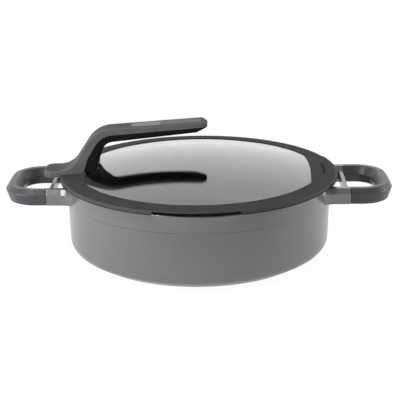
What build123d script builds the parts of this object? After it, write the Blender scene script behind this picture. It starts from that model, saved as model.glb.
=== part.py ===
from build123d import *
from math import atan, cos, degrees, hypot, radians, sin, sqrt, tan
import os

# Saute pan with two side grips and a domed glass lid. Millimetres, +Z up.
# Origin at the centre of the base, +X to the right grip, +Y away from the pouring side.

# Cuts and fits
overrun = 10.0              # how far a cutting shape runs past what it cuts
press_gap = 0.05            # on the radius, round pressed, glued and screwed pieces
slip_gap = 0.3              # between pieces that slide or rest on one another

# Pan casting
inner_radius = 140.0        # lined bore at the rim
lining = 0.4                # thickness of the non-stick lining
wall = 3.1                  # casting wall at the rim, without the lining
pan_height = 82.5
floor_thickness = 8.5       # casting, lining and base disc together, foot included
foot_inset = 17.5           # of the turned foot, from the wall's lower end
foot_height = 4.5
side_draft = 1.3            # how far the outside narrows from collar to base
floor_draft = 3.0           # how far the bore narrows from rim to floor
base_rounding = 13.5
floor_rounding = 14.0
rim_rounding = 1.0
collar_height = 19.6
collar_proud = 1.0
collar_draft = 0.2

# Pour lips, front and back
lip_radius = 95.0           # radius of the lip's own curve
lip_proud = 5.0             # how far the lip stands out of the rim
lip_lean = 15.4             # degrees

# Steel disc in the base
disc_inset = 9.5            # from the foot's edge
disc_thickness = 1.2
disc_rings = 3
disc_groove = 2.0           # width of a turned groove
disc_groove_depth = 0.3

# Cast brackets that carry the side grips
arm_spacing = 84.0          # between the two arms' centre lines
arm_width = 17.0
arm_height = 17.4
arm_below_rim = 2.6
arm_reach = 16.2            # from the rim to the collar on the arm's end
arm_flare = 17.0            # outer fillet between arm and wall, seen from above
arm_crotch = 6.0            # inner fillet between arm and wall
web_thickness = 4.0
web_height = 10.0
web_rounding = 4.0          # corners of the hole between web and wall
outer_ridge_share = 0.70    # height of the ridge on the outer side, of the arm's height
inner_ridge_share = 0.52
outer_top_share = 0.50      # width of the flat top to the outer side, of half the arm's width
inner_top_share = 0.25
outer_bottom_share = 0.56
inner_bottom_share = 0.88
tongue_length = 15.0
tongue_width = 8.0
tongue_height = 6.0

# Side grips
ferrule_thickness = 1.0
neck_length = 0.6           # shadow groove between ferrule and grip
neck_depth = 0.9
grip_reach = 48.5           # from the arm's end to the grip's far side
grip_corner = 35.0          # outside radius of the U's corners
grip_edge = 1.5             # rounding of the section's edges
grip_screw_inset = 9.0      # from the arm's end
grip_screw_radius = 2.0
grip_screw_head_radius = 3.6
grip_screw_head_height = 2.2
grip_screw_recess = 0.4     # head below the grip's underside
grip_screw_top = 0.8        # solid metal left over the screw in the tongue

# Lid rim, silicone
flange_overhang = 5.2       # beyond the pan's rim
flange_edge = 4.6           # height of the outer edge
rim_width = 18.7            # from the outer edge to the window
rim_rise = 1.7              # from the outer edge to the window
side_band = 8.5             # extra width of the rim left and right
side_bow_radius = 480.0     # bow of the window's two side edges
window_rounding = 5.0
lug_proud = 1.4
lug_half_angle = 21.0       # degrees
lug_rounding = 0.65
flange_rounding = 0.5
skirt_gap = 0.6             # to the lining, on the radius
skirt_depth = 10.0
skirt_thickness = 4.0
skirt_draft = 0.8
lower_lip = 2.4             # silicone under the glass
lower_lip_width = 5.0
groove_margin = 0.8         # plain silicone between window and groove
groove_width = 0.8
groove_depth = 0.25

# Openings of the rim: pour slot at the front, strainer holes at the back
slot_width = 88.0
slot_roof = 0.9             # silicone left over the slot at the outer edge
strainer_count = 5
strainer_pitch = 5.9
strainer_width = 2.6
strainer_length = 5.0
strainer_edge = 1.4         # silicone left outside the holes
strainer_drop = 7.0         # height of the slots in the skirt

# Plain arc pressed into the right lug
mark_radius_share = 0.5     # across the rim at the lug
mark_width = 3.0
mark_depth = 0.4
mark_half_angle = 8.0       # degrees

# Glass
dome_rise = 15.0
glass_thickness = 4.0
glass_drop = 0.6            # glass below the rim at the window
glass_grip = 7.0            # glass held by the rim

# Lid handle, side view: inward from the window's left edge, upward from the rim there
tab_reach = 46.0            # thumb tab, outward
tab_rise = 2.4
tab_drop = 4.2
tab_rounding = 2.8
heel_out = 17.4             # corner between tab and leg, outward
heel_rounding = 25.0
bend_in = 11.1              # corner between leg and strap
bend_rise = 46.5
bend_rounding = 32.0
strap_slope = 4.1           # degrees
strap_end = 125.8           # where the top turns down to the nose
nose_in = 134.2
nose_drop = 4.6             # nose below the strap's top
nose_rounding = 2.2
belly_end = 119.5           # where the underside turns up to the nose
belly_rise = 43.2
inner_bend_in = 22.5
inner_bend_rise = 32.5
inner_bend_rounding = 12.0
knee_rise = 16.0
knee_in = 14.5
knee_rounding = 14.0
foot_in = 11.0
core_out = 2.3              # black core's foot, outward
core_knee_in = 2.6
core_bend_in = 17.4
core_bend_rise = 39.9
core_bend_rounding = 24.0
core_tip_rise = 49.6

# Lid handle, front view and plan
strap_width = 26.0
foot_width = 35.0
foot_straight = 8.0         # height of the wide foot
strap_straight = 33.0       # height where the strap's width begins
width_rounding = 40.0
tab_corner = 10.0
nose_corner = 11.0
handle_edge = 2.2

# Inlay on the strap
inlay_width = 16.5
inlay_start = 49.0          # inward, as above
inlay_end_margin = 1.0      # to the end of the strap's flat top
inlay_thickness = 0.8

# Fastening of the lid handle
gasket_thickness = 0.8
gasket_margin = 1.2
post_in = 7.0               # screw's distance from the window's edge
post_spacing = 20.0
post_radius = 2.5
post_depth = 8.5            # screw's length above the glass
insert_wall = 1.1
insert_length = 9.0
bushing_wall = 1.7
plate_margin = 1.0
plate_edge = 1.5
plate_corner = 5.0
post_head_radius = 4.6
post_head_height = 2.8

# Places worked out from the sizes above
rim_radius = inner_radius + lining + wall
collar_z = pan_height - collar_height
shoulder_radius = rim_radius - collar_draft - collar_proud
base_radius = shoulder_radius - side_draft
foot_radius = base_radius - foot_inset
disc_radius = foot_radius - disc_inset
arm_z = pan_height - arm_below_rim - arm_height
arm_side = arm_spacing / 2
arm_end = rim_radius + arm_reach
neck_start = arm_end + ferrule_thickness
grip_start = neck_start + neck_length
grip_end = arm_end + grip_reach
tongue_z = arm_z + (arm_height - tongue_height) / 2
flange_z = pan_height + slip_gap
flange_radius = rim_radius + flange_overhang
window_radius = flange_radius - rim_width
window_side = window_radius - side_band
lid_z = flange_z + flange_edge + rim_rise
skirt_radius = inner_radius - skirt_gap
lug_radius = flange_radius + lug_proud
glass_radius = window_radius + glass_grip
dome_radius = (window_radius ** 2 + dome_rise ** 2) / (2 * dome_rise)
dome_z = lid_z - glass_drop + dome_rise - dome_radius
rim_slope = rim_rise / rim_width
glass_slope = window_radius / sqrt(dome_radius ** 2 - window_radius ** 2)
post_x = post_in - window_side
window_edge = Pos(-window_side, 0, lid_z)


def outline(corners):
    """Face with straight sides through (across, up, rounding) corners."""
    face = make_face(Polyline(*[(a, b) for a, b, _ in corners], close=True))
    for a, b, rounding in corners:
        if rounding > 0:
            face = fillet(face.vertices().sort_by_distance((a, b))[0], radius=rounding)
    return face


def turned(corners):
    """Solid of revolution about Z from (radius, height, rounding) corners."""
    return revolve(Plane.XZ * outline(corners), axis=Axis.Z)


def upright(face, low, high):
    """Prism on a plan, from one height to another."""
    return extrude(Pos(0, 0, low) * face, amount=high - low)


def in_line(corners, half_width):
    """Prism on a side view in (x, z), to both sides of the centre plane."""
    return extrude(Plane.XZ * outline(corners), amount=half_width, both=True)


def both_sides(piece):
    """The piece and its mirror image on the other side of the pan."""
    return piece + mirror(piece, about=Plane.YZ)


# Pan casting, lining and base disc

def lip_post(change, low, high):
    """Leaning round post whose front forms one pour lip, cut off between two heights."""
    lean = radians(lip_lean)
    half_depth = lip_radius / cos(lean)
    at_rim = Plane(
        origin=(0, half_depth - rim_radius - lip_proud, pan_height),
        z_dir=(0, -sin(lean), cos(lean)),
    )
    post = at_rim * Cylinder(lip_radius + change, 4 * lip_radius)
    reach = 4 * rim_radius
    slab = Pos(0, 0, (low + high) / 2) * Box(reach, reach, high - low)
    front = post & slab
    return front + mirror(front, about=Plane.XZ)


def bore(change):
    """The pan's hollow, out to the lining's face plus a change, with both lips."""
    top = pan_height + overrun
    low_radius = inner_radius - floor_draft + change
    hollow = turned([
        (0, floor_thickness - change, 0),
        (low_radius, floor_thickness - change, floor_rounding),
        (inner_radius + change, pan_height, 0),
        (inner_radius + change, top, 0),
        (0, top, 0),
    ])
    return hollow + lip_post(change - lining - wall, collar_z, top)


def outer_form():
    """Outside of the casting: base, wall, collar and lips, still solid inside."""
    body = turned([
        (0, 0, 0),
        (foot_radius, 0, 0),
        (foot_radius, foot_height, 0),
        (base_radius, foot_height, base_rounding),
        (shoulder_radius, collar_z, 0),
        (shoulder_radius + collar_proud, collar_z + collar_proud, 0),
        (rim_radius, pan_height, 0),
        (0, pan_height, 0),
    ])
    return body + lip_post(0, collar_z, pan_height)


def arm_plan():
    """Both arms on the wall from above, flared into it, longer than they end up."""
    wall_disc = Circle(rim_radius - collar_draft)
    length = arm_end + overrun
    arms = wall_disc
    for side in (-1, 1):
        arms += Pos(length / 2, side * arm_side) * Rectangle(length, arm_width)
    for side in (-1, 1):
        for edge, rounding in ((1, arm_flare), (-1, arm_crotch)):
            across = side * (arm_side + edge * arm_width / 2)
            along = sqrt((rim_radius - collar_draft) ** 2 - across ** 2)
            arms = fillet(arms.vertices().sort_by_distance((along, across))[0], radius=rounding)
    return arms


def web_plan():
    """Web between the arms from above, with its fillets into them."""
    between = arm_spacing - arm_width
    depth = web_thickness + web_rounding
    plate = Pos(arm_end - depth / 2, 0) * Rectangle(depth, between + 2 * press_gap)
    hole_depth = depth + web_rounding
    hole = Pos(arm_end - web_thickness - hole_depth / 2, 0) * RectangleRounded(
        hole_depth, between, web_rounding)
    return plate - hole


def faceted_arms(ridge_share, top_share, bottom_share):
    """Both arms with a ridge at a share of their height, tapered from it up and down."""
    ridge = arm_height * ridge_share
    upper = arm_height - ridge
    plan = Pos(0, 0, arm_z + ridge) * arm_plan()
    arms = extrude(plan, amount=upper, taper=degrees(atan(arm_width / 2 * (1 - top_share) / upper)))
    return arms + extrude(
        plan, amount=-ridge, taper=degrees(atan(arm_width / 2 * (1 - bottom_share) / ridge)))


def bracket():
    """Right bracket: two faceted arms, the web between them and their tongues."""
    between = upright(Rectangle(2 * arm_end, arm_spacing), arm_z - overrun, pan_height)
    arms = faceted_arms(outer_ridge_share, outer_top_share, outer_bottom_share) - between
    arms += faceted_arms(inner_ridge_share, inner_top_share, inner_bottom_share) & between
    keep = arm_end - window_side
    arms &= Pos(window_side + keep / 2, 0, arm_z + arm_height / 2) * Box(
        keep, arm_spacing + 4 * arm_width, arm_height)
    arms -= upright(Circle(inner_radius + lining + wall / 2), arm_z - overrun, pan_height)
    web_z = arm_z + (arm_height - web_height) / 2
    arms += upright(web_plan(), web_z, web_z + web_height)
    for side in (-1, 1):
        start = arm_end - web_thickness
        length = tongue_length + web_thickness
        arms += Pos(start + length / 2, side * arm_side, tongue_z + tongue_height / 2) * Box(
            length, tongue_width, tongue_height)
    return arms


def screw_spots():
    """The four screws that hold the side grips, in plan."""
    return [
        Pos(x * (arm_end + grip_screw_inset), y * arm_side)
        for x in (-1, 1) for y in (-1, 1)
    ]


def grip_screw_holes(radius, low, high):
    return [spot * upright(Circle(radius), low, high) for spot in screw_spots()]


def pan_body():
    right = bracket()
    body = outer_form() + right + mirror(right, about=Plane.YZ)
    body -= bore(lining)
    edges = body.edges().filter_by_position(
        Axis.Z, pan_height - press_gap, pan_height + press_gap)
    body = fillet(edges, radius=rim_rounding)
    body -= upright(Circle(disc_radius + press_gap), -overrun, disc_thickness)
    high = tongue_z + tongue_height - grip_screw_top + press_gap
    for hole in grip_screw_holes(grip_screw_radius + press_gap, arm_z, high):
        body -= hole
    return body


def nonstick_lining():
    skin = bore(lining) - bore(0)
    top = pan_height - rim_rounding
    reach = 4 * rim_radius
    return skin & Pos(0, 0, top / 2) * Box(reach, reach, top)


def induction_disc():
    disc = upright(Circle(disc_radius), 0, disc_thickness)
    for ring in range(disc_rings):
        middle = disc_radius * (ring + 1) / (disc_rings + 1)
        groove = Circle(middle + disc_groove / 2) - Circle(middle - disc_groove / 2)
        disc -= upright(groove, -overrun, disc_groove_depth)
    return disc


# Side grips, their collars and screws

def arm_section(rounding):
    """Six-sided section of the near arm and the grip, seen along X, about the arm's bottom."""
    half = arm_width / 2
    return outline([
        (-half * outer_bottom_share, 0, rounding),
        (half * inner_bottom_share, 0, rounding),
        (half, arm_height * inner_ridge_share, rounding),
        (half * inner_top_share, arm_height, rounding),
        (-half * outer_top_share, arm_height, rounding),
        (-half, arm_height * outer_ridge_share, rounding),
    ])


def on_near_arm(x, section):
    return Pos(x, -arm_side, arm_z) * (Plane.YZ * section)


def tongue_pocket(depth):
    """Room for the right tongues, to a depth from the arm's end."""
    pockets = []
    for side in (-1, 1):
        pockets.append(Pos(arm_end + depth / 2, side * arm_side, arm_z + arm_height / 2) * Box(
            depth, tongue_width + 2 * slip_gap, tongue_height + 2 * slip_gap))
    return pockets


def right_grip():
    far = grip_end - arm_width / 2
    path = Pos(0, 0, arm_z) * FilletPolyline(
        (grip_start, -arm_side), (far, -arm_side), (far, arm_side), (grip_start, arm_side),
        radius=grip_corner - arm_width / 2)
    grip = sweep(on_near_arm(grip_start, arm_section(grip_edge)), path=path)
    neck = on_near_arm(neck_start, offset(arm_section(grip_edge), amount=-neck_depth))
    neck = extrude(neck, amount=neck_length)
    grip += neck + mirror(neck, about=Plane.XZ)
    for pocket in tongue_pocket(tongue_length + slip_gap):
        grip -= pocket
    for spot in screw_spots():
        if spot.position.X > 0:
            seat = arm_z + grip_screw_recess + grip_screw_head_height
            low = arm_z - overrun
            grip -= spot * upright(Circle(grip_screw_radius + slip_gap), low, tongue_z + slip_gap)
            grip -= spot * upright(Circle(grip_screw_head_radius + slip_gap), low, seat)
    return grip


def grip_ferrules():
    plate = extrude(on_near_arm(arm_end, arm_section(0)), amount=ferrule_thickness)
    pair = Compound(children=[plate, mirror(plate, about=Plane.XZ)])
    for pocket in tongue_pocket(tongue_length):
        pair -= pocket
    return both_sides(pair)


def grip_screws():
    low = arm_z + grip_screw_recess
    neck = low + grip_screw_head_height
    high = tongue_z + tongue_height - grip_screw_top
    screw = upright(Circle(grip_screw_head_radius), low, neck)
    screw += upright(Circle(grip_screw_radius), neck, high)
    return [spot * screw for spot in screw_spots()]


# Lid glass and silicone rim

def dome_cap(change, reach):
    """Everything under the glass's upper face plus a change, out to a radius."""
    low = flange_z - skirt_depth
    tall = dome_z + dome_radius + overrun - low
    strip = Pos(reach / 2, low + tall / 2) * Rectangle(reach, tall)
    disc = Pos(0, dome_z) * Circle(dome_radius + change)
    return revolve(Plane.XZ * (disc & strip), axis=Axis.Z)


def glass_shell(reach):
    return dome_cap(0, reach) - dome_cap(-glass_thickness, reach + overrun)


def post_holes(radius, low, high):
    """The lid handle's two screw holes."""
    return [
        Pos(post_x, side * post_spacing / 2) * upright(Circle(radius), low, high)
        for side in (-1, 1)
    ]


def lid_glass():
    glass = glass_shell(glass_radius)
    hole = post_radius + press_gap + bushing_wall + press_gap
    for cut in post_holes(hole, flange_z - skirt_depth, lid_z + dome_rise):
        glass -= cut
    return glass


def window_plan(margin):
    """The window and a margin: a circle cut off left and right by two slightly bowed edges."""
    bow = Circle(side_bow_radius + margin)
    window = Circle(window_radius + margin)
    shift = side_bow_radius - window_side
    window = window & (Pos(shift, 0) * bow) & (Pos(-shift, 0) * bow)
    return fillet(window.vertices(), radius=window_rounding + margin)


def rim_plan():
    """Outer edge of the rim, with a lug on each side."""
    plan = Circle(flange_radius)
    spread = lug_radius * tan(radians(lug_half_angle))
    wedge = make_face(Polyline((0, 0), (lug_radius, spread), (lug_radius, -spread), close=True))
    lug = Circle(lug_radius) & wedge
    plan = plan + lug + mirror(lug, about=Plane.YZ)
    corners = [v for v in plan.vertices() if hypot(v.X, v.Y) > flange_radius - press_gap]
    return fillet(corners, radius=lug_rounding)


def rim_top(radius):
    """Height of the rim's top at a radius: it slopes down outward, inside as the glass does."""
    slope = rim_slope if radius > window_radius else glass_slope
    return lid_z - (radius - window_radius) * slope


def slot_cutters():
    """Pour slot at the front, strainer holes and skirt slots at the back."""
    roof = rim_top(flange_radius) - slot_roof
    low = flange_z - skirt_depth - overrun
    inner = skirt_radius - skirt_thickness - skirt_draft
    depth = flange_radius + overrun - inner
    cuts = [Pos(0, -inner - depth / 2, (low + roof) / 2) * Box(slot_width, depth, roof - low)]
    outer = flange_radius - strainer_edge
    for step in range(strainer_count):
        x = (step - (strainer_count - 1) / 2) * strainer_pitch
        hole = Pos(x, outer - strainer_length / 2) * Rectangle(strainer_width, strainer_length)
        cuts.append(upright(hole, low, lid_z))
        gap = Pos(x, (inner + outer) / 2) * Rectangle(strainer_width, outer - inner)
        cuts.append(upright(gap, flange_z - strainer_drop, flange_z))
    return cuts


def lug_mark():
    """Plain shallow arc in the right lug's top."""
    radius = window_side + (lug_radius - window_side) * mark_radius_share
    ring = turned([
        (radius - mark_width / 2, rim_top(radius - mark_width / 2) - mark_depth, 0),
        (radius + mark_width / 2, rim_top(radius + mark_width / 2) - mark_depth, 0),
        (radius + mark_width / 2, lid_z + overrun, 0),
        (radius - mark_width / 2, lid_z + overrun, 0),
    ])
    spread = lug_radius * tan(radians(mark_half_angle))
    wedge = make_face(Polyline((0, 0), (lug_radius, spread), (lug_radius, -spread), close=True))
    return ring & upright(wedge, pan_height, lid_z + overrun)


def rim_groove():
    """Thin line round the window, sunk into the rim's top."""
    ring = window_plan(groove_margin + groove_width) - window_plan(groove_margin)
    far = lug_radius + overrun
    return upright(ring, flange_z, lid_z + overrun) & turned([
        (0, rim_top(0) - groove_depth, 0),
        (window_radius, lid_z - groove_depth, 0),
        (far, rim_top(far) - groove_depth, 0),
        (far, lid_z + overrun, 0),
        (0, lid_z + overrun, 0),
    ])


def flange_edges(ring):
    """Upper outer edge of the flange, all the way round."""
    edges = []
    for edge in ring.edges():
        middle = edge @ (1 / 2)
        if hypot(middle.X, middle.Y) > flange_radius - press_gap and middle.Z > flange_z + flange_edge / 2:
            edges.append(edge)
    return edges


def plain_rim():
    """Rim with its openings, without the marks in its top."""
    inside = window_side - side_band
    far = lug_radius + overrun
    glass_z = flange_z + flange_edge / 2
    grip_radius = glass_radius - lower_lip_width
    lip_z = dome_z + sqrt((dome_radius - glass_thickness) ** 2 - glass_radius ** 2) - lower_lip
    skirt_z = flange_z - skirt_depth
    ring = turned([
        (grip_radius, lip_z, 0),
        (skirt_radius - skirt_thickness, lip_z, 0),
        (skirt_radius - skirt_thickness, skirt_z, 0),
        (skirt_radius - skirt_draft, skirt_z, 0),
        (skirt_radius, flange_z, 0),
        (far, flange_z, 0),
        (far, rim_top(far), 0),
        (window_radius, lid_z, 0),
        (inside, rim_top(inside), 0),
        (inside, dome_z + sqrt((dome_radius - glass_thickness / 2) ** 2 - inside ** 2), 0),
        (grip_radius, glass_z, 0),
    ])
    ring &= upright(rim_plan(), skirt_z - overrun, lid_z + overrun)
    ring = fillet(flange_edges(ring), radius=flange_rounding)
    ring -= upright(window_plan(0), glass_z, lid_z + dome_rise)
    ring -= glass_shell(glass_radius)
    for cut in slot_cutters():
        ring -= cut
    return ring


def lid_rim():
    return plain_rim() - lug_mark() - rim_groove()


# Lid handle

def strap_top(inward):
    """Height of the strap's top above the rim."""
    return bend_rise + (inward - bend_in) * tan(radians(strap_slope))


def handle_corners():
    """Side view of cover and core together, from the window's left edge as all of the handle."""
    return [
        (-tab_reach, -tab_drop, tab_rounding / 2),
        (-tab_reach, tab_rise, tab_rounding),
        (-heel_out, tab_rise, heel_rounding),
        (bend_in, bend_rise, bend_rounding),
        (strap_end, strap_top(strap_end), nose_rounding),
        (nose_in, strap_top(strap_end) - nose_drop, nose_rounding),
        (belly_end, belly_rise, nose_rounding * 2),
        (inner_bend_in, inner_bend_rise, inner_bend_rounding),
        (knee_in, knee_rise, knee_rounding),
        (foot_in, -tab_drop, 0),
    ]


def core_region():
    """All that lies under the joint between grey cover and black core."""
    far = nose_in + overrun
    slope = (core_tip_rise - core_bend_rise) / (nose_in - core_bend_in)
    return in_line([
        (-core_out, -tab_drop - overrun, 0),
        (-core_out, 0, 0),
        (core_knee_in, knee_rise, knee_rounding),
        (core_bend_in, core_bend_rise, core_bend_rounding),
        (far, core_bend_rise + (far - core_bend_in) * slope, 0),
        (far, -tab_drop - overrun, 0),
    ], foot_width)


def lengthwise_edges(form):
    """Edges along the near side of the handle's upper faces."""
    edges = []
    for face in form.faces():
        normal = face.normal_at()
        if normal.Z > 0 and abs(normal.Y) < abs(normal.Z):
            edges += [e for e in face.edges() if max((e @ 0).Y, (e @ 1).Y) < -press_gap]
    return edges


def handle_form():
    """Cover and core as one: side view, front view and plan intersected."""
    form = in_line(handle_corners(), foot_width)
    top = strap_top(nose_in) + overrun
    low = -tab_drop - overrun
    foot = foot_width / 2
    strap = strap_width / 2
    front = outline([
        (-foot, low, 0), (foot, low, 0),
        (foot, foot_straight, width_rounding), (strap, strap_straight, width_rounding),
        (strap, top, 0), (-strap, top, 0),
        (-strap, strap_straight, width_rounding), (-foot, foot_straight, width_rounding),
    ])
    reach = 2 * nose_in
    form &= extrude(Plane.YZ * front, amount=reach, both=True)
    middle = (bend_in + nose_in) / 2
    plan = outline([
        (-tab_reach, -foot, tab_corner), (middle, -foot, 0), (middle, -strap, 0),
        (nose_in, -strap, nose_corner), (nose_in, strap, nose_corner),
        (middle, strap, 0), (middle, foot, 0), (-tab_reach, foot, tab_corner),
    ])
    form &= upright(plan, low, top)
    near_half = form & Pos(0, -foot_width / 2, 0) * Box(2 * reach, foot_width, reach)
    near_half = fillet(lengthwise_edges(near_half), radius=handle_edge)
    return near_half + mirror(near_half, about=Plane.XZ)


def rim_envelope():
    """Room the cover leaves for the rim below it."""
    far = lug_radius + slip_gap
    return turned([
        (0, flange_z - skirt_depth, 0),
        (far, flange_z - skirt_depth, 0),
        (far, rim_top(far) + press_gap, 0),
        (window_radius, lid_z + press_gap, 0),
        (0, rim_top(0) + press_gap, 0),
    ])


def inlay_plan():
    end = strap_end - inlay_end_margin
    round_end = inlay_width / 2 - press_gap
    return outline([
        (inlay_start, -inlay_width / 2, round_end), (end, -inlay_width / 2, nose_corner / 2),
        (end, inlay_width / 2, nose_corner / 2), (inlay_start, inlay_width / 2, round_end),
    ])


def inlay_slab(low):
    """Layer along the strap's sloping top, from below it to its surface."""
    return in_line([
        (bend_in, strap_top(bend_in) - low, 0),
        (strap_end, strap_top(strap_end) - low, 0),
        (strap_end, strap_top(strap_end), 0),
        (bend_in, strap_top(bend_in), 0),
    ], strap_width)


def handle_inlay():
    return upright(inlay_plan(), 0, strap_top(nose_in) + overrun) & inlay_slab(inlay_thickness)


def handle_cover():
    cover = handle_form() - core_region() - handle_inlay()
    return window_edge * cover - rim_envelope()


def handle_core():
    core = window_edge * (handle_form() & core_region())
    core -= dome_cap(gasket_thickness, glass_radius + overrun)
    core -= Pos(0, 0, press_gap) * plain_rim()
    hole_radius = post_radius + press_gap + insert_wall + press_gap
    for hole in post_holes(hole_radius, flange_z, insert_top()):
        core -= hole
    return core


def glass_top(radius):
    return dome_z + sqrt(dome_radius ** 2 - radius ** 2)


def insert_top():
    return glass_top(abs(post_x)) + gasket_thickness + insert_length


def handle_inserts():
    inserts = []
    radius = post_radius + press_gap
    for side in (-1, 1):
        sleeve = upright(Circle(radius + insert_wall) - Circle(radius), flange_z, insert_top())
        sleeve = Pos(post_x, side * post_spacing / 2) * sleeve
        inserts.append(sleeve - dome_cap(gasket_thickness, glass_radius))
    return inserts


def foot_plan(margin, corner):
    """Plan of the pieces that clamp the glass under the core's foot."""
    start, end = margin - window_side, foot_in - window_side
    half = foot_width / 2 - margin
    return outline([
        (start, -half, corner), (end, -half, corner), (end, half, corner), (start, half, corner),
    ])


def handle_gasket():
    layer = dome_cap(gasket_thickness, glass_radius) - dome_cap(0, glass_radius + overrun)
    gasket = layer & upright(foot_plan(gasket_margin, gasket_margin), flange_z, lid_z + dome_rise)
    hole_radius = post_radius + press_gap + insert_wall + press_gap
    for hole in post_holes(hole_radius, flange_z, lid_z + dome_rise):
        gasket -= hole
    return gasket


def plate_bottom():
    return dome_z + sqrt((dome_radius - glass_thickness) ** 2 - window_side ** 2) - plate_edge


def handle_backing_plate():
    plate = upright(foot_plan(plate_margin, plate_corner), plate_bottom(), lid_z + dome_rise)
    plate &= dome_cap(-glass_thickness, glass_radius)
    for hole in post_holes(post_radius + press_gap, flange_z - skirt_depth, lid_z + dome_rise):
        plate -= hole
    return plate


def glass_bushings():
    bushings = []
    radius = post_radius + press_gap
    for side in (-1, 1):
        sleeve = upright(
            Circle(radius + bushing_wall) - Circle(radius), flange_z - skirt_depth, lid_z + dome_rise)
        bushings.append(Pos(post_x, side * post_spacing / 2) * sleeve & glass_shell(glass_radius))
    return bushings


def handle_screws():
    low = plate_bottom()
    high = glass_top(abs(post_x)) + post_depth
    screw = upright(Circle(post_radius), low, high)
    screw += upright(Circle(post_head_radius), low - post_head_height, low)
    return [Pos(post_x, side * post_spacing / 2) * screw for side in (-1, 1)]


def save(name, shape):
    pieces = shape if isinstance(shape, list) else [shape]
    solids = [solid for piece in pieces for solid in piece.solids()]
    export_step(solids[0] if len(solids) == 1 else Compound(children=solids), f"parts/{name}.step")


os.makedirs("parts", exist_ok=True)
grip = right_grip()
save("pan_body", pan_body())
save("nonstick_lining", nonstick_lining())
save("induction_disc", induction_disc())
save("right_grip", grip)
save("left_grip", mirror(grip, about=Plane.YZ))
save("grip_ferrules", grip_ferrules())
save("grip_screws", grip_screws())
save("lid_glass", lid_glass())
save("lid_rim", lid_rim())
save("handle_cover", handle_cover())
save("handle_core", handle_core())
save("handle_inlay", window_edge * handle_inlay())
save("handle_inserts", handle_inserts())
save("handle_gasket", handle_gasket())
save("handle_backing_plate", handle_backing_plate())
save("glass_bushings", glass_bushings())
save("handle_screws", handle_screws())
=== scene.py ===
from math import atan2, cos, hypot, radians, sin

import bmesh
import bpy
from mathutils import Matrix, Vector


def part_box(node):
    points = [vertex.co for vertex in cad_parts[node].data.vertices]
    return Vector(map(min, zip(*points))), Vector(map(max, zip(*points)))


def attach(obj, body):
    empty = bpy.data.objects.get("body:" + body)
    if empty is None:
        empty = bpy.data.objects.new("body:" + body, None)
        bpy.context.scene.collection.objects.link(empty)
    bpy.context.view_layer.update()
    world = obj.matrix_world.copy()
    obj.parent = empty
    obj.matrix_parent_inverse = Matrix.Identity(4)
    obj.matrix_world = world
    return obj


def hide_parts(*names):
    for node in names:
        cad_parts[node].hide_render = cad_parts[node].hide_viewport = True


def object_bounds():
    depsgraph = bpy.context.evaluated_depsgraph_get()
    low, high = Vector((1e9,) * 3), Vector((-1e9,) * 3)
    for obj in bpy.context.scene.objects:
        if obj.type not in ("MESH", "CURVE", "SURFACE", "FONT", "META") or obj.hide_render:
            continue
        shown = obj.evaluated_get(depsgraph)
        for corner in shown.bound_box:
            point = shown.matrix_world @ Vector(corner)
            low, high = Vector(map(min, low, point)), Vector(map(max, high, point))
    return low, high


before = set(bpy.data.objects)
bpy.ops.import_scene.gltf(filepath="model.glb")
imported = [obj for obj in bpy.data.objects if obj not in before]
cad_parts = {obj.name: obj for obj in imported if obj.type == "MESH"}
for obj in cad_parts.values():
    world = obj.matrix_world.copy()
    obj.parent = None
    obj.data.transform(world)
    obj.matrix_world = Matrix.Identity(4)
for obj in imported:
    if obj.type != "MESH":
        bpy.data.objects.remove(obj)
cad_low, cad_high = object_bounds()

millimetre = 0.001

# Camera, aimed at a point on the pan's axis
aim_height = 40 * millimetre
view_distance = 1300 * millimetre
view_azimuth = radians(1.1)           # 0 is straight in front, where Y is negative, 90 at the right
view_elevation = radians(18.24)
view_roll = 0.0110                    # radians
lens_mm = 106.16
sensor_mm = 36.0
shift_right = 0.00225                 # shares of the frame
shift_up = 0.0282
clip_near = 0.05
clip_far = 50.0

# Floor
floor_radius = 9.0
floor_corners = 96
floor_grey = 0.86
floor_pale_grey = 0.88
floor_cloud = 0.5                     # size of its faint clouds
floor_seen_share = 0.92               # share of plain white in the floor that the camera sees
floor_seen_white = 1.04               # its strength
floor_mirrored_share = 0.85           # share of it in the floor that gloss and glass see
floor_front_white = 0.49              # its strength on the photographer's side
floor_back_white = 1.0                # and behind the pan
floor_fade_front = -250 * millimetre  # Y where the one begins to turn into the other
floor_fade_back = 50 * millimetre

# World
world_gathered = 0.38                 # light from all round
world_seen = 1.0                      # white behind the pan, for the camera
world_front_level = 0.12              # for gloss and glass, on the photographer's side
world_back_level = 1.10               # and behind the pan
world_fade_front = -0.3               # Y of the direction where the one begins to turn into the other
world_fade_back = 0.5

# Range of a noise over which two tones of a finish run into one another
tones_start = 0.3
tones_end = 0.7

# Places on the pieces where a finish changes
edge_blur = 0.2 * millimetre          # each side of such a place
foot_margin = 9.5 * millimetre        # from the steel disc's edge to the turned foot's
foot_height = 4.5 * millimetre
foot_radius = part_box("induction_disc")[1].x + foot_margin
wall_margin = 3.6 * millimetre        # from the casting's bore to just outside its wall
bracket_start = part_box("nonstick_lining")[1].x + wall_margin
bracket_blend = 8.0 * millimetre      # from there to where the tone is all the brackets'
rim_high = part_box("lid_rim")[1]
band_edge = 0.5 * millimetre          # rounding above the rim's outer band
band_radius = rim_high.y - band_edge
seat_gap = 0.3 * millimetre           # between pan and rim
band_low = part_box("pan_body")[1].z + seat_gap
shadow_line_height = 0.9 * millimetre         # painted shadow: height of the black line along the lower edge of the band
mark_inset = 12.8 * millimetre        # dark arc on the right lug, from the lug's edge
mark_width = 3.0 * millimetre
mark_outer = rim_high.x - mark_inset
mark_inner = mark_outer - mark_width
mark_half_length = 19.0 * millimetre
inlay_bright_length = 31.5 * millimetre
inlay_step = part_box("handle_inlay")[0].x + inlay_bright_length

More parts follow.
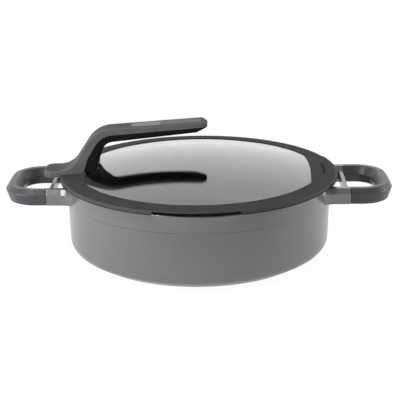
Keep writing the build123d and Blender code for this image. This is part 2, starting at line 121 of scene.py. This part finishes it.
# Screws, as in the solids that they stand for
grip_screw_head = 3.6 * millimetre    # radius
grip_screw_shank = 2.0 * millimetre
grip_screw_head_height = 2.2 * millimetre
handle_screw_head = 4.6 * millimetre
handle_screw_shank = 2.5 * millimetre
handle_screw_head_height = 2.8 * millimetre
head_round_share = 0.16               # rounding of the head, of its radius
head_round_steps = 4
socket_share = 0.52                   # radius of the recess, of the head's
socket_lobes = 6
socket_waist_share = 0.78             # its narrowest radius, of its widest
socket_waist_turn = -0.3              # cosine of a lobe's turn, below which it is narrow
socket_depth_share = 0.55             # of the head's height
screw_corners = 48
smooth_angle = radians(35)
facing = 0.9                          # Z of the normal, past which a face looks up or down
hair = 0.001 * millimetre             # places nearer than this are the same


# Material nodes

def new_finish(name):
    material = bpy.data.materials.new(name)
    material.use_nodes = True
    tree = material.node_tree
    return material, tree, tree.nodes["Principled BSDF"]


def node(tree, kind, inputs=None, **settings):
    """Adds a node, sets its own options and its sockets, which may be values or links."""
    made = tree.nodes.new(kind)
    for key, value in settings.items():
        setattr(made, key, value)
    for key, value in (inputs or {}).items():
        if isinstance(value, bpy.types.NodeSocket):
            tree.links.new(value, made.inputs[key])
        else:
            made.inputs[key].default_value = value
    return made


def connect(tree, target, **links):
    """Links outputs to a node's sockets, whose names have _ for a space here."""
    for name, output in links.items():
        tree.links.new(output, target.inputs[name.replace("_", " ")])


def place_on(tree):
    """Object coordinates, in metres."""
    return node(tree, "ShaderNodeTexCoord").outputs["Object"]


def stretched(tree, place, scale):
    """Place that draws a pattern out along the axes whose scale is small."""
    return node(tree, "ShaderNodeMapping", {"Vector": place, "Scale": scale}).outputs[0]


def noise(tree, place, size, detail=2.0, roughness=0.5):
    """Noise whose lumps are about that size."""
    inputs = {"Vector": place, "Scale": 1 / size, "Detail": detail, "Roughness": roughness}
    return node(tree, "ShaderNodeTexNoise", inputs).outputs["Fac"]


def tones(tree, factor, dark, pale):
    """Runs from one colour to another over the middle of a factor's range."""
    made = node(tree, "ShaderNodeValToRGB", {"Fac": factor})
    for element, place, colour in zip(made.color_ramp.elements, (tones_start, tones_end), (dark, pale)):
        element.position = place
        element.color = (*colour, 1.0)
    return made.outputs["Color"]


def greys(tree, factor, dark, pale):
    return tones(tree, factor, (dark,) * 3, (pale,) * 3)


def spread(tree, factor, low, high, from_low=0.0, from_high=1.0):
    """Moves a factor from one range to another, and no further than its ends."""
    inputs = {"Value": factor, "From Min": from_low, "From Max": from_high, "To Min": low, "To Max": high}
    return node(tree, "ShaderNodeMapRange", inputs).outputs["Result"]


def blend_colour(tree, factor, first, second):
    """Mixes two colours, each a value or a link."""
    made = node(tree, "ShaderNodeMix", data_type="RGBA")
    sockets = {socket.identifier: socket for socket in made.inputs}
    tree.links.new(factor, sockets["Factor_Float"])
    for name, value in (("A_Color", first), ("B_Color", second)):
        if isinstance(value, bpy.types.NodeSocket):
            tree.links.new(value, sockets[name])
        else:
            sockets[name].default_value = (*value, 1.0)
    return next(socket for socket in made.outputs if socket.identifier == "Result_Color")


def relief(tree, height, depth, strength, over=None):
    """Bump of a real depth from a height between 0 and 1."""
    inputs = {"Height": height, "Distance": depth, "Strength": strength}
    if over is not None:
        inputs["Normal"] = over
    return node(tree, "ShaderNodeBump", inputs).outputs["Normal"]


def maths(tree, operation, first, second=0.0):
    return node(tree, "ShaderNodeMath", {0: first, 1: second}, operation=operation).outputs[0]


def along(tree, place, axis):
    return node(tree, "ShaderNodeSeparateXYZ", {0: place}).outputs[axis]


def axis_distance(tree, place):
    """Distance from the pan's own axis."""
    flat = node(tree, "ShaderNodeVectorMath", {0: place, 1: (1.0, 1.0, 0.0)}, operation="MULTIPLY")
    return node(tree, "ShaderNodeVectorMath", {0: flat.outputs[0]}, operation="LENGTH").outputs["Value"]


def above(tree, value, edge):
    """1 where a length is past an edge, 0 before it."""
    return spread(tree, value, 0.0, 1.0, edge - edge_blur, edge + edge_blur)


def below(tree, value, edge):
    """1 where a length is before an edge, 0 past it."""
    return spread(tree, value, 1.0, 0.0, edge - edge_blur, edge + edge_blur)


def all_of(tree, first, *masks):
    for mask in masks:
        first = maths(tree, "MULTIPLY", first, mask)
    return first


def turned_rings(tree, place, pitch):
    """Fine rings about the pan's axis, as a lathe leaves them."""
    inputs = {"W": axis_distance(tree, place), "Scale": 1 / pitch, "Detail": 3.0}
    return node(tree, "ShaderNodeTexNoise", inputs, noise_dimensions="1D").outputs["Fac"]


# Finishes

def coated_aluminium():
    """Grey metallic baked coating, a little paler on the brackets. The turned foot ring is bare metal."""
    material, tree, shader = new_finish("coated_aluminium")
    place = place_on(tree)
    distance = axis_distance(tree, place)
    clouds = noise(tree, place, size=45 * millimetre, detail=3.0)
    base = tones(tree, clouds, (0.220, 0.220, 0.221), (0.236, 0.236, 0.237))
    outward = spread(tree, distance, 0.0, 1.0, bracket_start, bracket_start + bracket_blend)
    coat = blend_colour(tree, outward, base, (0.25, 0.25, 0.252))
    dust = noise(tree, place, size=0.35 * millimetre, detail=1.0)
    flecks = spread(tree, dust, 0.0, 0.30, from_low=0.60, from_high=0.72)
    coat = blend_colour(tree, flecks, coat, (0.27, 0.27, 0.272))
    bare = all_of(
        tree, below(tree, along(tree, place, "Z"), foot_height),
        below(tree, distance, foot_radius + edge_blur))
    rings = turned_rings(tree, place, pitch=0.6 * millimetre)
    metal = tones(tree, rings, (0.48, 0.48, 0.485), (0.60, 0.60, 0.605))
    orange_peel = noise(tree, place, size=1.1 * millimetre)
    grain = relief(tree, orange_peel, depth=0.01 * millimetre, strength=0.1)
    connect(
        tree, shader,
        Base_Color=blend_colour(tree, bare, coat, metal),
        Metallic=spread(tree, bare, 0.55, 0.80),
        Roughness=spread(tree, noise(tree, place, size=8 * millimetre), 0.19, 0.24),
        Normal=relief(tree, rings, depth=0.02 * millimetre, strength=0.2, over=grain),
    )
    return material


def sprayed_lining():
    """Charcoal non-stick layer, sprayed, with pale flecks."""
    material, tree, shader = new_finish("lining")
    place = place_on(tree)
    spray = noise(tree, place, size=6 * millimetre, detail=4.0)
    base = tones(tree, spray, (0.026, 0.026, 0.027), (0.036, 0.036, 0.037))
    dust = noise(tree, place, size=0.9 * millimetre, detail=1.0)
    flecks = spread(tree, dust, 0.0, 0.5, from_low=0.66, from_high=0.72)
    orange_peel = noise(tree, place, size=1.4 * millimetre)
    connect(
        tree, shader,
        Base_Color=blend_colour(tree, flecks, base, (0.16, 0.16, 0.165)),
        Roughness=spread(tree, spray, 0.38, 0.50),
        Normal=relief(tree, orange_peel, depth=0.03 * millimetre, strength=0.4),
    )
    return material


def turned_steel():
    """Bare stainless steel, turned about the pan's axis."""
    material, tree, shader = new_finish("turned_base_steel")
    rings = turned_rings(tree, place_on(tree), pitch=0.7 * millimetre)
    shader.inputs["Metallic"].default_value = 1.0
    connect(
        tree, shader,
        Base_Color=greys(tree, rings, 0.42, 0.60),
        Roughness=spread(tree, rings, 0.22, 0.38),
        Normal=relief(tree, rings, depth=0.03 * millimetre, strength=0.4),
    )
    return material


def brushed_steel(name, scale, dark=0.50, pale=0.66):
    """Stainless steel with fine lines. The scale of the axes that they run along is small."""
    material, tree, shader = new_finish(name)
    lines = noise(tree, stretched(tree, place_on(tree), scale), size=0.25 * millimetre, detail=3.0)
    shader.inputs["Metallic"].default_value = 1.0
    connect(
        tree, shader,
        Base_Color=greys(tree, lines, dark, pale),
        Roughness=spread(tree, lines, 0.18, 0.34),
        Normal=relief(tree, lines, depth=0.01 * millimetre, strength=0.3),
    )
    return material


def start_moulded(name, tone, pale, grain, depth, gloss):
    """Moulded plastic or silicone with an eroded grain. Its colour, with faint flow clouds and pale
    dust, and its roughness are still to be connected."""
    material, tree, shader = new_finish(name)
    place = place_on(tree)
    flow = noise(tree, place, size=14 * millimetre, detail=4.0)
    dust = noise(tree, place, size=0.5 * millimetre)
    dusty = spread(tree, dust, 0.0, 0.5, from_low=0.5, from_high=0.8)
    colour = blend_colour(tree, dusty, tones(tree, flow, tone, pale), pale)
    eroded = noise(tree, place, size=grain, detail=3.0, roughness=0.6)
    shader.inputs["Specular IOR Level"].default_value = gloss
    connect(tree, shader, Normal=relief(tree, eroded, depth, strength=0.6))
    return material, tree, shader, place, colour


def moulded(name, tone, pale, grain, depth, smooth, rough, gloss=0.5):
    """Moulded plastic or silicone with rubbed patches."""
    material, tree, shader, place, colour = start_moulded(name, tone, pale, grain, depth, gloss)
    rubbed = noise(tree, place, size=22 * millimetre)
    connect(
        tree, shader,
        Base_Color=colour,
        Roughness=spread(tree, rubbed, smooth, rough, from_low=0.3, from_high=0.7),
    )
    return material


def rim_silicone():
    """Matt silicone. Its outer band is smoother, and painted paler as a painted highlight. Painted shadow
    makes the band's low edge a black line, and the arc is black.
    """
    material, tree, shader, place, colour = start_moulded(
        "rim_silicone", tone=(0.045, 0.045, 0.0455), pale=(0.055, 0.055, 0.056),
        grain=0.45 * millimetre, depth=0.03 * millimetre, gloss=0.09)
    distance = axis_distance(tree, place)
    across = maths(tree, "ABSOLUTE", along(tree, place, "Y"))
    band = above(tree, distance, band_radius)
    # Painted shadow: a black line along the band's lower edge, where the rim sits on the pan
    painted_shadow_line = all_of(tree, band, below(tree, along(tree, place, "Z"), band_low + shadow_line_height))
    mark = all_of(
        tree, above(tree, distance, mark_inner), below(tree, distance, mark_outer),
        below(tree, across, mark_half_length), above(tree, along(tree, place, "X"), 0.0))
    # The outer band is painted paler, a painted highlight for the light that its side catches
    band_painted_paler = blend_colour(tree, band, colour, (0.066, 0.066, 0.068))
    # Black for the painted shadow line and for the arc
    black = maths(tree, "MAXIMUM", painted_shadow_line, mark)
    connect(
        tree, shader,
        Base_Color=blend_colour(tree, black, band_painted_paler, (0.012, 0.012, 0.012)),
        Roughness=spread(tree, band, 0.72, 0.50),
    )
    return material


def inlay_satin():
    """Silver-grey satin strip, brushed along the handle, brighter on its left part."""
    material, tree, shader = new_finish("inlay_satin")
    place = place_on(tree)
    lines = noise(tree, stretched(tree, place, (0.03, 1.0, 1.0)), size=0.3 * millimetre, detail=3.0)
    bright = tones(tree, lines, (0.13, 0.13, 0.134), (0.18, 0.18, 0.184))
    dull = tones(tree, lines, (0.045, 0.045, 0.047), (0.07, 0.07, 0.072))
    shader.inputs["Metallic"].default_value = 0.7
    connect(
        tree, shader,
        Base_Color=blend_colour(tree, above(tree, along(tree, place, "X"), inlay_step), bright, dull),
        Roughness=spread(tree, lines, 0.36, 0.48),
        Normal=relief(tree, lines, depth=0.01 * millimetre, strength=0.25),
    )
    return material


def insert_brass():
    material, tree, shader = new_finish("insert_brass")
    lines = noise(tree, place_on(tree), size=0.3 * millimetre, detail=3.0)
    shader.inputs["Metallic"].default_value = 1.0
    connect(
        tree, shader,
        Base_Color=tones(tree, lines, (0.58, 0.42, 0.17), (0.75, 0.58, 0.27)),
        Roughness=spread(tree, lines, 0.25, 0.4),
    )
    return material


def tempered_glass():
    """Clear tempered glass, faintly green through its thickness, with a trace of wiping marks."""
    material, tree, shader = new_finish("tempered_glass")
    wiped = noise(tree, place_on(tree), size=60 * millimetre, detail=5.0, roughness=0.6)
    shader.inputs["Transmission Weight"].default_value = 1.0
    shader.inputs["IOR"].default_value = 1.7
    shader.inputs["Base Color"].default_value = (0.97, 0.99, 0.98, 1.0)
    connect(tree, shader, Roughness=spread(tree, wiped, 0.0, 0.012, from_low=0.5, from_high=0.9))
    return material


def dress_all():
    """Gives every CAD node its finish."""
    grip_plastic = moulded(
        "grip_plastic", tone=(0.056, 0.053, 0.060), pale=(0.070, 0.066, 0.074),
        grain=0.30 * millimetre, depth=0.02 * millimetre, smooth=0.30, rough=0.36, gloss=0.45)
    screw_steel = brushed_steel("screw_steel", scale=(1.0, 1.0, 0.2))
    finishes = {
        "pan_body": coated_aluminium(),
        "nonstick_lining": sprayed_lining(),
        "induction_disc": turned_steel(),
        "right_grip": grip_plastic,
        "left_grip": grip_plastic,
        "grip_ferrules": brushed_steel("ferrule_steel", scale=(1.0, 0.05, 0.05), dark=0.26, pale=0.36),
        "grip_screws": screw_steel,
        "lid_glass": tempered_glass(),
        "lid_rim": rim_silicone(),
        "handle_cover": moulded(
            "cover_soft_touch", tone=(0.110, 0.110, 0.111), pale=(0.130, 0.130, 0.131),
            grain=0.35 * millimetre, depth=0.02 * millimetre, smooth=0.46, rough=0.56, gloss=0.004),
        "handle_core": moulded(
            "core_black", tone=(0.008, 0.008, 0.0085), pale=(0.012, 0.012, 0.0125),
            grain=0.35 * millimetre, depth=0.03 * millimetre, smooth=0.50, rough=0.60, gloss=0.02),
        "handle_inlay": inlay_satin(),
        "handle_screws": screw_steel,
        "handle_inserts": insert_brass(),
        "handle_gasket": moulded(
            "gasket_silicone", tone=(0.020, 0.020, 0.021), pale=(0.028, 0.028, 0.029),
            grain=0.5 * millimetre, depth=0.02 * millimetre, smooth=0.5, rough=0.6),
        "handle_backing_plate": brushed_steel("plate_steel", scale=(1.0, 0.03, 1.0)),
        "glass_bushings": moulded(
            "bushing_plastic", tone=(0.012, 0.012, 0.012), pale=(0.018, 0.018, 0.018),
            grain=0.6 * millimetre, depth=0.01 * millimetre, smooth=0.4, rough=0.5),
    }
    for name, finish in finishes.items():
        for material_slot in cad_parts[name].material_slots:
            material_slot.material = finish


# Screws, modelled over the plain ones

def start_piece(name):
    """Takes the new primitive as a piece, with its place moved into its mesh."""
    piece = bpy.context.object
    piece.name = name
    piece.data.name = name
    bpy.ops.object.transform_apply(location=True, rotation=True, scale=True)
    return piece


def pick(piece, faces=None, edges=None, verts=None):
    """Selects by a test what the next edit acts on, and nothing else."""
    bpy.ops.mesh.select_all(action="DESELECT")
    mesh = bmesh.from_edit_mesh(piece.data)
    for items, test in ((mesh.verts, verts), (mesh.edges, edges), (mesh.faces, faces)):
        if test:
            for item in items:
                if test(item):
                    item.select_set(True)
    mesh.select_flush_mode()
    bmesh.update_edit_mesh(piece.data)


def nearly(first, second):
    return abs(first - second) < hair


def extrude(rise):
    bpy.ops.mesh.extrude_region_move(TRANSFORM_OT_translate={"value": (0.0, 0.0, rise)})


def screw(name, x, y, low, neck, high, head_radius, shank_radius):
    """Screw pointing up, with a rounded head and a six-lobed recess in its underside."""
    socket_radius = head_radius * socket_share

    def reach(v):
        return hypot(v.co.x - x, v.co.y - y)

    def in_waist(v):
        turn = atan2(v.co.y - y, v.co.x - x)
        in_socket = v.co.z < neck - hair and reach(v) < socket_radius + hair
        return in_socket and cos(socket_lobes * turn) < socket_waist_turn

    def on_head_edge(e):
        return all(nearly(v.co.z, low) and nearly(reach(v), head_radius) for v in e.verts)

    bpy.ops.object.select_all(action="DESELECT")
    bpy.ops.mesh.primitive_cylinder_add(
        vertices=screw_corners, radius=head_radius, depth=neck - low, location=(x, y, (low + neck) / 2))
    piece = start_piece(name)
    bpy.ops.object.mode_set(mode="EDIT")
    bpy.ops.mesh.select_mode(type="FACE")
    pick(piece, faces=lambda f: f.normal.z > facing)
    bpy.ops.mesh.inset(thickness=head_radius - shank_radius)
    extrude(high - neck)

    pick(piece, faces=lambda f: f.normal.z < -facing)
    bpy.ops.mesh.inset(thickness=head_radius - socket_radius)
    extrude((neck - low) * socket_depth_share)
    bpy.ops.mesh.select_mode(type="VERT")
    pick(piece, verts=in_waist)
    bpy.ops.transform.resize(
        value=(socket_waist_share, socket_waist_share, 1.0), center_override=(x, y, low))

    bpy.ops.mesh.select_mode(type="EDGE")
    pick(piece, edges=on_head_edge)
    bpy.ops.mesh.bevel(offset=head_radius * head_round_share, segments=head_round_steps, affect="EDGES")
    bpy.ops.object.mode_set(mode="OBJECT")
    bpy.ops.object.shade_smooth_by_angle(angle=smooth_angle)
    return piece


def add_copies(piece, shifts):
    """Joins copies of a piece, each moved by its shift, to the piece."""
    bpy.ops.object.select_all(action="DESELECT")
    for shift in shifts:
        twin = piece.copy()
        twin.data = piece.data.copy()
        bpy.context.scene.collection.objects.link(twin)
        twin.data.transform(Matrix.Translation(shift))
        twin.select_set(True)
    piece.select_set(True)
    bpy.context.view_layer.objects.active = piece
    bpy.ops.object.join()


def make_screws(node_name, body, head_radius, shank_radius, head_height):
    """Screws at the corners of the box of a node that holds plain ones."""
    low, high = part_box(node_name)
    first_x, last_x = low.x + head_radius, high.x - head_radius
    first_y, last_y = low.y + head_radius, high.y - head_radius
    piece = screw(
        node_name + "_modelled", first_x, first_y, low.z, low.z + head_height, high.z,
        head_radius, shank_radius)
    rows = [0.0] if nearly(first_x, last_x) else [0.0, last_x - first_x]
    shifts = [(dx, dy, 0.0) for dx in rows for dy in (0.0, last_y - first_y)]
    add_copies(piece, shifts[1:])
    piece.data.materials.append(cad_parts[node_name].material_slots[0].material)
    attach(piece, body)
    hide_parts(node_name)


def make_all_screws():
    make_screws("grip_screws", "pan", grip_screw_head, grip_screw_shank, grip_screw_head_height)
    make_screws("handle_screws", "lid", handle_screw_head, handle_screw_shank, handle_screw_head_height)


# Camera, floor and light

def towards(azimuth, elevation):
    """Direction from the pan. Azimuth 0 is straight in front of it, and a right angle is at its right."""
    return Vector((
        sin(azimuth) * cos(elevation),
        -cos(azimuth) * cos(elevation),
        sin(elevation),
    ))


def make_camera():
    data = bpy.data.cameras.new("camera")
    camera = bpy.data.objects.new("camera", data)
    bpy.context.scene.collection.objects.link(camera)
    data.lens = lens_mm
    data.sensor_width = sensor_mm
    data.shift_x = shift_right
    data.shift_y = shift_up
    data.clip_start = clip_near
    data.clip_end = clip_far
    back = towards(view_azimuth, view_elevation)
    right = Vector((cos(view_azimuth), sin(view_azimuth), 0.0))
    up = back.cross(right)
    rolled_up = up * cos(view_roll) + right * sin(view_roll)
    rolled_right = right * cos(view_roll) - up * sin(view_roll)
    turn = Matrix((rolled_right, rolled_up, back)).transposed()
    place = Vector((0.0, 0.0, aim_height)) + back * view_distance
    camera.matrix_world = Matrix.Translation(place) @ turn.to_4x4()
    bpy.context.scene.camera = camera


def by_ray(tree, gathered, mirrored, seen):
    """Level that differs for light that is only gathered, for gloss and glass, and for the camera."""
    path = node(tree, "ShaderNodeLightPath").outputs
    clear = maths(tree, "MAXIMUM", path["Is Glossy Ray"], path["Is Transmission Ray"])
    return spread(tree, path["Is Camera Ray"], spread(tree, clear, gathered, mirrored), seen)


def make_world():
    """White for the camera, and for gloss and glass white behind the pan and dark in front of it."""
    world = bpy.data.worlds.new("studio")
    bpy.context.scene.world = world
    world.use_nodes = True
    tree = world.node_tree
    background = tree.nodes["Background"]
    background.inputs["Color"].default_value = (1.0, 1.0, 1.0, 1.0)
    direction = node(tree, "ShaderNodeTexCoord").outputs["Generated"]
    mirrored = spread(
        tree, along(tree, direction, "Y"), world_front_level, world_back_level,
        from_low=world_fade_front, from_high=world_fade_back)
    connect(tree, background, Strength=by_ray(tree, world_gathered, mirrored, world_seen))


def floor_finish():
    """Matt pale floor, mixed with plain white for the camera, gloss and glass, so that it meets the
    white behind it and keeps the pan's shadow."""
    material, tree, shader = new_finish("floor_matt")
    tree.nodes.remove(shader)
    place = place_on(tree)
    colour = greys(tree, noise(tree, place, size=floor_cloud), floor_grey, floor_pale_grey)
    matt = node(tree, "ShaderNodeBsdfDiffuse", {"Color": colour})
    mirrored = spread(
        tree, along(tree, place, "Y"), floor_front_white, floor_back_white,
        from_low=floor_fade_front, from_high=floor_fade_back)
    strength = by_ray(tree, 0.0, mirrored, floor_seen_white)
    white = node(tree, "ShaderNodeEmission", {"Color": (1.0, 1.0, 1.0, 1.0), "Strength": strength})
    share = by_ray(tree, 0.0, floor_mirrored_share, floor_seen_share)
    mixed = node(tree, "ShaderNodeMixShader", {0: share, 1: matt.outputs[0], 2: white.outputs[0]})
    connect(tree, tree.nodes["Material Output"], Surface=mixed.outputs[0])
    return material


def make_floor():
    bpy.ops.object.select_all(action="DESELECT")
    bpy.ops.mesh.primitive_circle_add(
        vertices=floor_corners, radius=floor_radius, fill_type="NGON", location=(0.0, 0.0, cad_low.z))
    floor = bpy.context.object
    floor.name = "floor"
    floor.data.materials.append(floor_finish())


def softbox(name, azimuth, elevation, distance, width, watts):
    """Square area lamp, aimed at the same point as the camera. Its angles are in degrees."""
    data = bpy.data.lights.new(name, "AREA")
    data.shape = "SQUARE"
    data.size = width
    data.energy = watts
    lamp = bpy.data.objects.new(name, data)
    bpy.context.scene.collection.objects.link(lamp)
    back = towards(radians(azimuth), radians(elevation))
    lamp.location = Vector((0.0, 0.0, aim_height)) + back * distance
    lamp.rotation_mode = "QUATERNION"
    lamp.rotation_quaternion = back.to_track_quat("Z", "Y")


def make_lights():
    softbox("top_light", azimuth=-20, elevation=75, distance=1.6, width=1.2, watts=1.5)
    softbox("left_light", azimuth=-62, elevation=12, distance=1.6, width=0.9, watts=24.0)
    softbox("right_light", azimuth=95, elevation=15, distance=1.8, width=0.8, watts=14.0)
    softbox("key_light", azimuth=-52, elevation=58, distance=1.6, width=0.45, watts=4.5)


def make_studio():
    bpy.context.scene.view_settings.view_transform = "Standard"
    make_camera()
    make_world()
    make_floor()
    make_lights()


make_studio()
dress_all()
make_all_screws()
